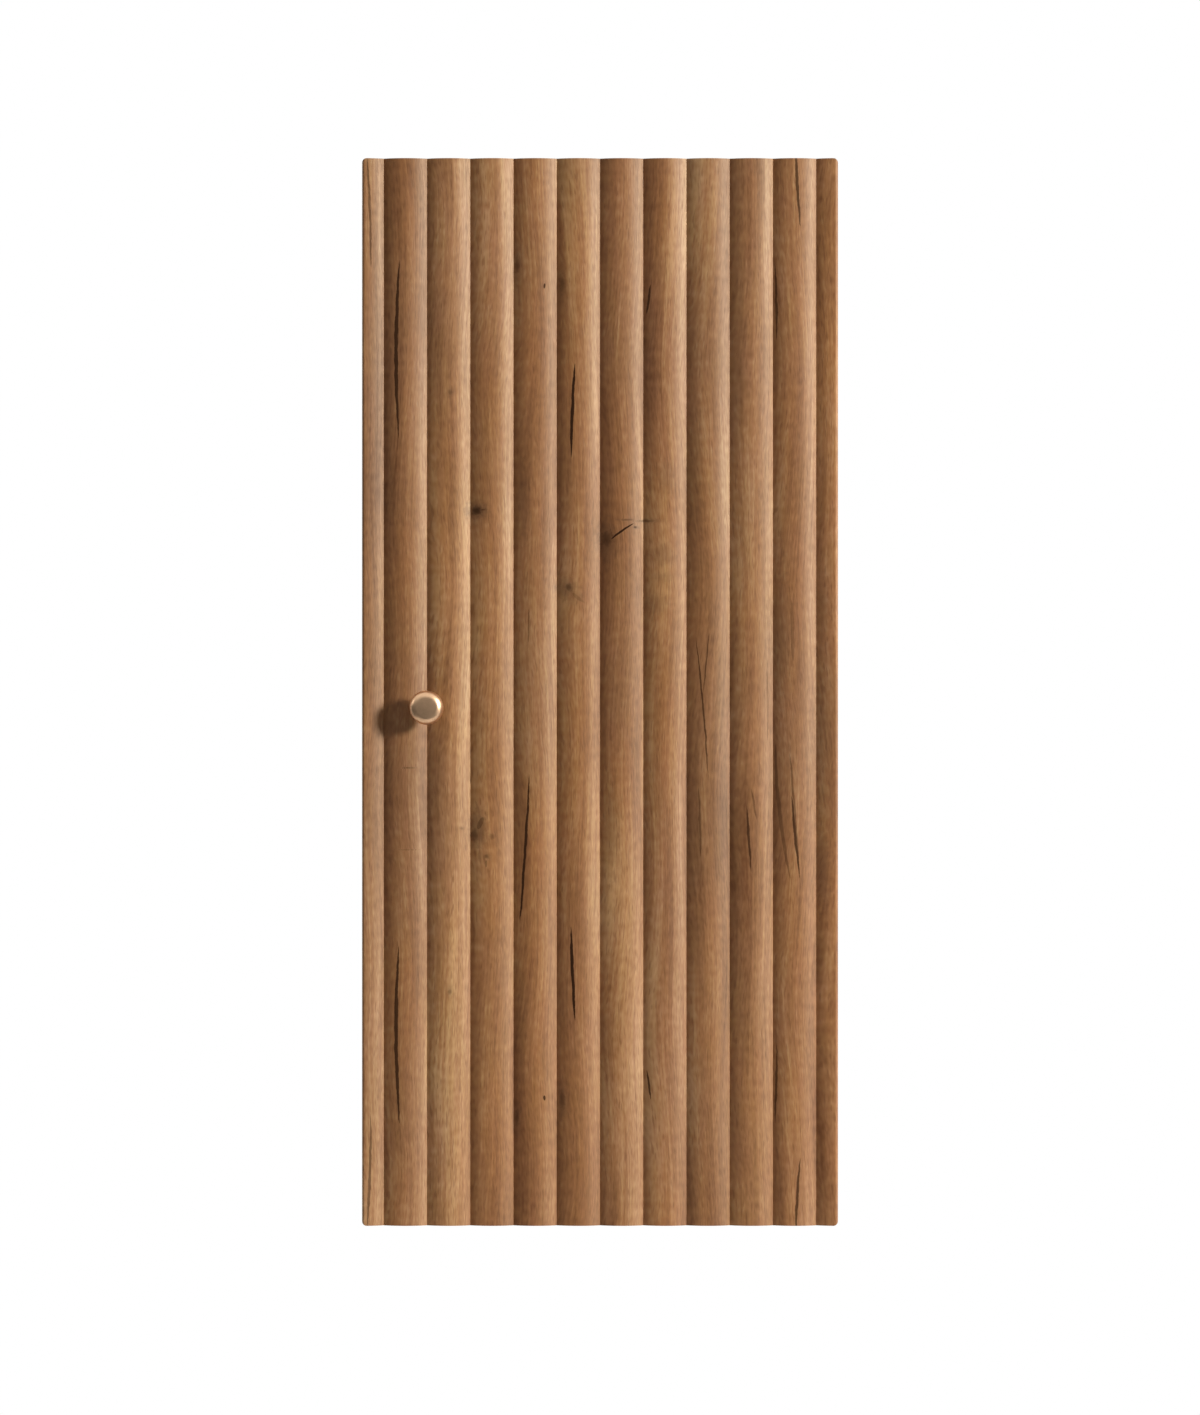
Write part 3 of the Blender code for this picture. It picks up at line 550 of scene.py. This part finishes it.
def plated_steel(name, colour, roughness, mottle, depth):
    """Plated sheet or wire: the plating's shade and gloss change a little from place to place."""
    finish = Finish(name, {"Metallic": 1.0})
    cloud = finish.noise(finish.steps(mottle), 3.0)
    grit = finish.noise(finish.steps(0.5 * MM), 2.0)
    shade = tuple(0.86 * part for part in colour)
    finish.colour(finish.blend(cloud.share(0.3, 0.7), shade, colour))
    finish.roughness(roughness - 0.05 + cloud * 0.1 + grit * 0.05)
    finish.relief(grit, depth)
    return finish.material


def galvanised_steel():
    """Hot-dip zinc with its crystals."""
    finish = Finish("zinc_steel", {"Metallic": 1.0})
    crystals = finish.add("ShaderNodeTexVoronoi", {},
                          {"Vector": finish.place, "Scale": 1 / (7 * MM)}, output="Color")
    crystal = finish.add("ShaderNodeSeparateColor", {}, {"Color": crystals})
    grit = finish.noise(finish.steps(0.6 * MM), 3.0)
    finish.colour(finish.blend((crystal * 0.7 + grit * 0.3).share(0.0, 1.0),
                               (0.42, 0.43, 0.45), (0.64, 0.65, 0.67)))
    finish.roughness(0.34 + crystal * 0.16)
    finish.relief(grit, 0.02 * MM)
    return finish.material


def moulded_plastic(name, colour, roughness):
    finish = Finish(name, {})
    texture = finish.noise(finish.steps(0.35 * MM), 2.0)
    cloud = finish.noise(finish.steps(15 * MM), 2.0)
    shade = tuple(0.9 * part for part in colour)
    finish.colour(finish.blend(cloud.share(0.3, 0.7), shade, colour))
    finish.roughness(roughness + texture * 0.1)
    finish.relief(texture, 0.03 * MM)
    return finish.material


def beech():
    finish = Finish("beech", {"Roughness": 0.6})
    drawn = finish.vector(finish.x / (5 * MM), finish.y / (0.6 * MM), finish.z / (0.6 * MM))
    flecks = finish.noise(drawn, 3.0)
    finish.colour(finish.blend(flecks.share(0.35, 0.65), (0.42, 0.26, 0.14), (0.60, 0.42, 0.25)))
    finish.relief(flecks, 0.05 * MM)
    return finish.material


# Shapes

def middle(low, high):
    return (low + high) / 2


def box_place(low, high):
    """Turns a unit cube into the box from low to high."""
    return Matrix.Translation(middle(low, high)) @ Matrix.Diagonal((*(high - low), 1))


def bevel(bm, edges, width, segments):
    bmesh.ops.bevel(bm, geom=edges, offset=width, offset_type="OFFSET", affect="EDGES",
                    segments=segments, profile=0.5, material=-1, clamp_overlap=True)


def piece(name, bm, materials, smooth_angle=35):
    """An object at the origin from a finished bmesh."""
    mesh = bpy.data.meshes.new(name)
    bm.to_mesh(mesh)
    bm.free()
    mesh.shade_smooth()
    mesh.set_sharp_from_angle(angle=math.radians(smooth_angle))
    for material in materials:
        mesh.materials.append(material)
    obj = bpy.data.objects.new(name, mesh)
    bpy.context.scene.collection.objects.link(obj)
    return obj


def baked(obj):
    """Swap an object's mesh for what its modifiers make of it."""
    shape = obj.evaluated_get(bpy.context.evaluated_depsgraph_get())
    mesh = bpy.data.meshes.new_from_object(shape)
    obj.modifiers.clear()
    obj.data = mesh


def cut(obj, bm):
    """Take a shape out of a piece."""
    cutter = piece(obj.name + "_cutter", bm, [])
    modifier = obj.modifiers.new("cut", "BOOLEAN")
    modifier.operation = "DIFFERENCE"
    modifier.solver = "EXACT"
    modifier.object = cutter
    baked(obj)
    bpy.data.objects.remove(cutter)


def stand_for(obj, node):
    """Show a piece in place of the solid it was made from."""
    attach(obj, frame["nodes"][node]["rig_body"])
    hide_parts(node)


def weighted(obj):
    """Large faces keep their own direction, so the small bevels beside them look round."""
    modifier = obj.modifiers.new("weighted", "WEIGHTED_NORMAL")
    modifier.keep_sharp = True
    baked(obj)


def drill(bm, start, end, radius, sides):
    run = end - start
    turn = Vector((0, 0, 1)).rotation_difference(run).to_matrix().to_4x4()
    bmesh.ops.create_cone(bm, cap_ends=True, segments=sides, radius1=radius, radius2=radius,
                          depth=run.length, matrix=Matrix.Translation((start + end) / 2) @ turn)


def spun(outline, seat, direction, steps):
    """A turned piece from its outline of (radius, height above the seat), top first."""
    bm = bmesh.new()
    points = [bm.verts.new((radius, 0, height)) for radius, height in outline]
    for upper, lower in zip(points, points[1:]):
        bm.edges.new((upper, lower))
    bmesh.ops.spin(bm, geom=bm.verts[:] + bm.edges[:], cent=(0, 0, 0), axis=(0, 0, 1),
                   angle=2 * math.pi, steps=steps, use_merge=True)
    bmesh.ops.remove_doubles(bm, verts=bm.verts, dist=weld_distance)
    bmesh.ops.recalc_face_normals(bm, faces=bm.faces)
    turn = Vector((0, 0, 1)).rotation_difference(Vector(direction)).to_matrix().to_4x4()
    bmesh.ops.transform(bm, matrix=Matrix.Translation(seat) @ turn, verts=bm.verts)
    return bm


def rounded(corners, steps):
    """The outline in metres of corners in mm: radius, height and rounding, which becomes an arc."""
    outline = []
    for index, (radius, height, rounding) in enumerate(corners):
        here = Vector((radius, height))
        if rounding == 0:
            outline.append(here)
            continue
        back = Vector(corners[index - 1][:2]) - here
        ahead = Vector(corners[index + 1][:2]) - here
        half = back.angle(ahead) / 2
        reach = rounding / math.tan(half)
        start = here + back.normalized() * reach
        end = here + ahead.normalized() * reach
        inward = (back.normalized() + ahead.normalized()).normalized()
        centre = here + inward * (rounding / math.sin(half))
        for step in range(steps + 1):
            arm = (start - centre).lerp(end - centre, step / steps).normalized() * rounding
            outline.append(centre + arm)
    return [(point.x * MM, point.y * MM) for point in outline]


# Carcass

def welded(node):
    """A welded copy of a solid, with its flat faces whole."""
    bm = bmesh.new()
    bm.from_mesh(frame["nodes"][node].data)
    bmesh.ops.remove_doubles(bm, verts=bm.verts, dist=weld_distance)
    bmesh.ops.dissolve_limit(bm, angle_limit=math.radians(0.5), verts=bm.verts, edges=bm.edges)
    return bm


def sides_of(point, low, high):
    """On how many sides of the box a point lies."""
    return sum(min(abs(point[axis] - low[axis]), abs(point[axis] - high[axis])) < near
               for axis in range(3))


def board(node, faces, ends, end_axis, raw):
    """A board of the carcass with its edges taken off. The grain of its ends runs another way."""
    low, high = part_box(node)
    bm = welded(node)
    edges = [edge for edge in bm.edges
             if all(sides_of(vert.co, low, high) > 1 for vert in edge.verts)
             and sides_of(middle(edge.verts[0].co, edge.verts[1].co), low, high) == 2]
    for face in bm.faces:
        outside = sides_of(face.calc_center_median(), low, high) > 0
        face.material_index = int(abs(face.normal[end_axis]) > 0.9) if outside else 2
    bevel(bm, edges, board_round, 2)
    obj = piece(node + "_board", bm, [faces, ends, raw])
    weighted(obj)
    stand_for(obj, node)


def back_panel(inside, raw):
    obj = piece("back_sheet", welded("back_panel"), [inside, raw])
    for face in obj.data.polygons:
        face.material_index = 0 if face.normal.y < -0.9 else 1
    stand_for(obj, "back_panel")


def carcass(upright, level):
    edge_band = oak_board("oak_edge_band", "y", 23.0)
    chipboard = raw_board("chipboard", (0.30, 0.19, 0.10), (0.55, 0.40, 0.24), 1.5 * MM)
    hardboard = raw_board("hardboard", (0.105, 0.058, 0.030), (0.245, 0.150, 0.085), 2.2 * MM)
    for node in ("left_side_panel", "right_side_panel"):
        board(node, upright, edge_band, 2, chipboard)
    for node in ("top_panel", "bottom_panel", "upper_shelf", "lower_shelf"):
        board(node, level, edge_band, 0, chipboard)
    back_panel(upright, hardboard)


# Fittings

def paint(node, material):
    """Finish a solid that keeps its own shape."""
    solid = frame["nodes"][node]
    solid.data.materials.clear()
    solid.data.materials.append(material)


def softened(node, width, material):
    """A pressed or moulded fitting with its sharp edges rounded."""
    bm = welded(node)
    sharp = [edge for edge in bm.edges
             if len(edge.link_faces) == 2 and edge.calc_face_angle() > math.radians(40)]
    bevel(bm, sharp, width, 2)
    obj = piece(node + "_fitting", bm, [material])
    weighted(obj)
    stand_for(obj, node)


def screw(node, direction, shank, material):
    """A pan-head screw with a cross recess and a thread of fine ridges."""
    low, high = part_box(node)
    direction = Vector(direction)
    length = abs(direction.dot(high - low))
    top = middle(low, high) + direction * length / 2
    radius = (high.z - low.z) / 2
    head = screw_head
    outline = [(0, 0), (0.5 * radius, -0.04 * head), (0.82 * radius, -0.2 * head),
               (radius, -0.55 * head), (radius, -0.92 * head), (0.96 * radius, -head), (shank, -head)]
    depth = head + thread_pitch
    while depth < length - 2 * shank:
        outline += [(shank, -depth), (0.78 * shank, -depth - thread_pitch / 2)]
        depth += thread_pitch
    outline += [(0.3 * shank, -length), (0, -length)]
    obj = piece(node + "_threaded", spun(outline, top, direction, 32), [material], 30)
    turn = Vector((0, 0, 1)).rotation_difference(direction).to_matrix().to_4x4()
    seat = Matrix.Translation(top) @ turn
    for angle in (0, 90):
        blade = bmesh.new()
        place = Matrix.Rotation(math.radians(angle), 4, "Z") @ Matrix.Diagonal((1, 0.22, 1, 1))
        bmesh.ops.create_cone(blade, cap_ends=True, segments=4, radius1=0.42 * radius,
                              radius2=0.8 * radius, depth=1.4 * head, matrix=seat @ place)
        cut(obj, blade)
    stand_for(obj, node)


def shelf_pin(node, inward, material):
    low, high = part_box(node)
    seat = middle(low, high)
    seat.x = low.x if inward > 0 else high.x
    outline = rounded(pin_outline, 3)
    obj = piece(node + "_turned", spun(outline, seat, (inward, 0, 0), 32), [material])
    stand_for(obj, node)


def bumper(node, material):
    low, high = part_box(node)
    seat = middle(low, high)
    seat.y = low.y
    height = (high.y - low.y) / MM
    radius = (high.x - low.x) / 2 / MM
    corners = [(0, height, 0), (0.7 * radius, height, 0.5), (radius, 0.45 * height, 0.4),
               (radius, 0, 0.1), (0, 0, 0)]
    obj = piece(node + "_dome", spun(rounded(corners, 4), seat, (0, 1, 0), 48), [material])
    stand_for(obj, node)


def fittings():
    nickel = plated_steel("nickel", (0.66, 0.64, 0.60), 0.26, 12 * MM, 0.01 * MM)
    zinc = plated_steel("screw_steel", (0.60, 0.60, 0.62), 0.30, 3 * MM, 0.01 * MM)
    galvanised = galvanised_steel()
    plastic = moulded_plastic("grey_plastic", (0.42, 0.42, 0.41), 0.45)
    rubber = moulded_plastic("bumper", (0.62, 0.61, 0.58), 0.35)
    wood = beech()
    for hinge in ("upper", "lower"):
        for part in ("hinge_cup", "inner_link", "outer_link", "hinge_arm", "hinge_plate"):
            softened(f"{hinge}_{part}", hinge_round, nickel)
        for end in ("upper", "lower"):
            screw(f"{hinge}_cup_screw_{end}", (0, 1, 0), hinge_shank, zinc)
            screw(f"{hinge}_plate_screw_{end}", (-1, 0, 0), hinge_shank, zinc)
        for part in ("cup_pin", "rear_rivet", "front_rivet"):
            paint(f"{hinge}_{part}", zinc)
    screw("knob_screw", (0, 1, 0), knob_shank, zinc)
    for side in ("left", "right"):
        softened(f"{side}_hanger_housing", plastic_round, plastic)
        softened(f"{side}_hanger_hook", sheet_round, galvanised)
        screw(f"{side}_hanger_screw", (0, -1, 0), hanger_shank, zinc)
        for end in ("top", "bottom"):
            for place in ("front", "rear"):
                paint(f"{end}_{side}_{place}_dowel", wood)
        inward = 1 if side == "left" else -1
        for shelf in ("upper_shelf", "lower_shelf"):
            for place in ("front", "rear"):
                shelf_pin(f"{shelf}_pin_{place}_{side}", inward, nickel)
    softened("wall_rail", sheet_round, galvanised)
    for node in ("upper_bumper", "lower_bumper"):
        bumper(node, rubber)


# Door

def reed_face(x, low, high):
    """How far in front of the valleys the face is at x."""
    pitch = (high.x - low.x) / reed_count
    half = pitch / 2
    radius = (half ** 2 + reed_depth ** 2) / (2 * reed_depth)
    from_crest = (x - low.x) % pitch
    from_crest = min(from_crest, pitch - from_crest)
    return math.sqrt(radius ** 2 - from_crest ** 2) - (radius - reed_depth)


def edge_fall(x, low, high):
    """How far the face falls back at x, near the rounded left and right edges."""
    beyond = max(0, door_edge_round - min(x - low.x, high.x - x))
    return door_edge_round - math.sqrt(max(0, door_edge_round ** 2 - beyond ** 2))


def drill_for(bm, node, behind, radius, sides):
    """A hole from behind the door that ends a clearance past a solid."""
    low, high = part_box(node)
    place = middle(low, high)
    drill(bm, Vector((place.x, behind, place.z)), Vector((place.x, low.y - hole_clearance, place.z)),
          radius, sides)


def bore_door(obj, front, behind):
    """Bores for the hinges' cups and their screws, and for the knob, whose foot gets a flat seat."""
    holes = bmesh.new()
    for hinge in ("upper", "lower"):
        cup_low, cup_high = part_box(f"{hinge}_hinge_cup")
        cup_radius = (cup_high.x - cup_low.x) / 2 + hole_clearance
        drill_for(holes, f"{hinge}_hinge_cup", behind, cup_radius, 64)
        for end in ("upper", "lower"):
            drill_for(holes, f"{hinge}_cup_screw_{end}", behind, cup_screw_hole, 32)
    cut(obj, holes)
    knob_place = middle(*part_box("knob"))
    end = Vector((knob_place.x, front - reed_depth, knob_place.z))
    seat_radius = (knob_foot + knob_seat_margin) * MM
    for start_y, radius, sides in ((behind, knob_bore * MM, 32), (front + reed_depth, seat_radius, 64)):
        bore = bmesh.new()
        drill(bore, Vector((knob_place.x, start_y, knob_place.z)), end, radius, sides)
        cut(obj, bore)


def door(materials):
    """The reeded panel. Its materials are for the face, the back, and the top and bottom edges."""
    low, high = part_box("door_panel")
    bm = bmesh.new()
    bmesh.ops.create_cube(bm, size=1, matrix=box_place(low, high))
    corners = [edge for edge in bm.edges
               if abs(edge.verts[0].co.y - edge.verts[1].co.y) > reed_depth]
    bevel(bm, corners, door_corner_radius, 6)
    columns = reed_count * reed_facets
    width = high.x - low.x
    places = [low.x + width * column / columns for column in range(1, columns)]
    for facet in range(1, edge_facets + 1):
        inset = door_edge_round * (1 - math.cos(math.pi / 2 * facet / edge_facets))
        places += [low.x + inset, high.x - inset]
    for x in places:
        bmesh.ops.bisect_plane(bm, geom=bm.verts[:] + bm.edges[:] + bm.faces[:], dist=weld_distance,
                               plane_co=(x, 0, 0), plane_no=(1, 0, 0))
    front = low.y
    for vert in bm.verts:
        if vert.co.y < front + near:
            x = vert.co.x
            vert.co.y = front + reed_depth - reed_face(x, low, high) + edge_fall(x, low, high)
    bm.normal_update()
    for face in bm.faces:
        if face.normal.y > 0.9:
            face.material_index = 1
        elif abs(face.normal.z) > 0.9:
            face.material_index = 2
    obj = piece("reeded_door", bm, materials)
    bore_door(obj, front, high.y + drill_overshoot)
    weighted(obj)
    stand_for(obj, "door_panel")


def knob(material):
    low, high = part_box("knob")
    seat = middle(low, high)
    seat.y = high.y
    outline = rounded(knob_outline, 12)
    obj = piece("turned_knob", spun(outline, seat, (0, -1, 0), 96), [material])
    stand_for(obj, "knob")


# Studio

def aim(obj, place, target):
    obj.location = place
    obj.rotation_euler = (Vector(target) - Vector(place)).to_track_quat("-Z", "Y").to_euler()


def lamp(name, target, direction, distance, size, power):
    light = bpy.data.lights.new(name, "AREA")
    light.shape = "RECTANGLE"
    light.size, light.size_y = size
    light.energy = power
    obj = bpy.data.objects.new(name, light)
    bpy.context.scene.collection.objects.link(obj)
    aim(obj, Vector(target) + Vector(direction).normalized() * distance, target)


def camera():
    low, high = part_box("door_panel")
    data = bpy.data.cameras.new("camera")
    data.sensor_width = 36
    data.lens = data.sensor_width * camera_distance / picture_height
    obj = bpy.data.objects.new("camera", data)
    bpy.context.scene.collection.objects.link(obj)
    height = middle(low, high).z - camera_drop
    aim(obj, (0, low.y - camera_distance, height), (0, 0, height))
    bpy.context.scene.camera = obj


def world():
    """White behind the object and overhead; gloss also shows the dimmer room in front of it."""
    sky = bpy.data.worlds.new("studio")
    sky.use_nodes = True
    bpy.context.scene.world = sky
    nodes = Nodes(sky.node_tree)
    paths = nodes.add("ShaderNodeLightPath", {}, {}).socket.node
    camera_ray = Wire(nodes, paths.outputs["Is Camera Ray"])
    reflected = Wire(nodes, paths.outputs["Is Glossy Ray"]).math(
        "MAXIMUM", Wire(nodes, paths.outputs["Is Transmission Ray"]))
    direction = nodes.add("ShaderNodeTexCoord", {}, {}, output="Generated")
    split = nodes.add("ShaderNodeSeparateXYZ", {}, {"Vector": direction}).socket.node
    backwards, up = (Wire(nodes, split.outputs[axis]) for axis in "YZ")
    bright = backwards.rise(-0.1, 0.5).math("MAXIMUM", up.rise(0.05, 0.75))
    room = room_light + bright * (1.0 - room_light)
    room = room.math("MAXIMUM", camera_ray)
    white = (1.0, 1.0, 1.0)
    ambient = nodes.add("ShaderNodeBackground", {}, {"Color": white, "Strength": ambient_light})
    shown = nodes.add("ShaderNodeBackground", {}, {"Color": white, "Strength": room})
    share = reflected.math("MAXIMUM", camera_ray)
    both = nodes.add("ShaderNodeMixShader", {}, {0: share, 1: ambient, 2: shown})
    output = next(node for node in sky.node_tree.nodes if node.type == "OUTPUT_WORLD")
    nodes.plug(output, "Surface", both)


def floor():
    """A pale disc that keeps the cabinet's shadow and fades into the white at its rim."""
    low, high = cad_box
    middle_y = (low[1] + high[1]) / 2
    finish = Finish("floor", {"Roughness": 0.8})
    cloud = finish.noise(finish.steps(400 * MM), 2.0)
    finish.colour(finish.blend(cloud, (0.88, 0.88, 0.88), (0.92, 0.92, 0.92)))
    from_middle = (finish.x ** 2 + (finish.y - middle_y) ** 2) ** 0.5
    towards_rim = from_middle.rise(0.3 * floor_size, 0.48 * floor_size)
    seen = finish.add("ShaderNodeLightPath", {}, {}, output="Is Camera Ray")
    glow = finish.add("ShaderNodeEmission", {}, {"Color": (1.0, 1.0, 1.0), "Strength": 1.0})
    finish.cover(seen * (floor_glow + towards_rim * (1 - floor_glow)), glow)
    bm = bmesh.new()
    place = Matrix.Translation((0, middle_y, low[2] - floor_drop))
    bmesh.ops.create_circle(bm, cap_ends=True, segments=96, radius=floor_size / 2, matrix=place)
    piece("floor", bm, [finish.material])


def studio():
    """Four lamps: the key from the right and above, two weak ones at the sides, one behind."""
    low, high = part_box("door_panel")
    target = (0, low.y, middle(low, high).z)
    lamp("key", target, (0.785, -0.545, 0.29), 6.0, (1.0, 1.1), 462)
    lamp("side", target, (0.95, -0.35, -0.25), 2.6, (1.2, 2.0), 6)
    lamp("edge", target, (-0.93, -0.1, 0.35), 3.0, (0.3, 0.3), 4)
    lamp("rear", (0, 0, target[2]), (-0.6, 0.62, 0.5), 3.2, (1.5, 1.5), 60)
    bpy.context.scene.view_settings.view_transform = "Standard"


upright = oak_board("oak_upright", "z", 11.0)
level = oak_board("oak_level", "x", 17.0)
door([reeded_oak(), upright, level])
knob(brushed_brass())
carcass(upright, level)
fittings()
world()
floor()
studio()
camera()
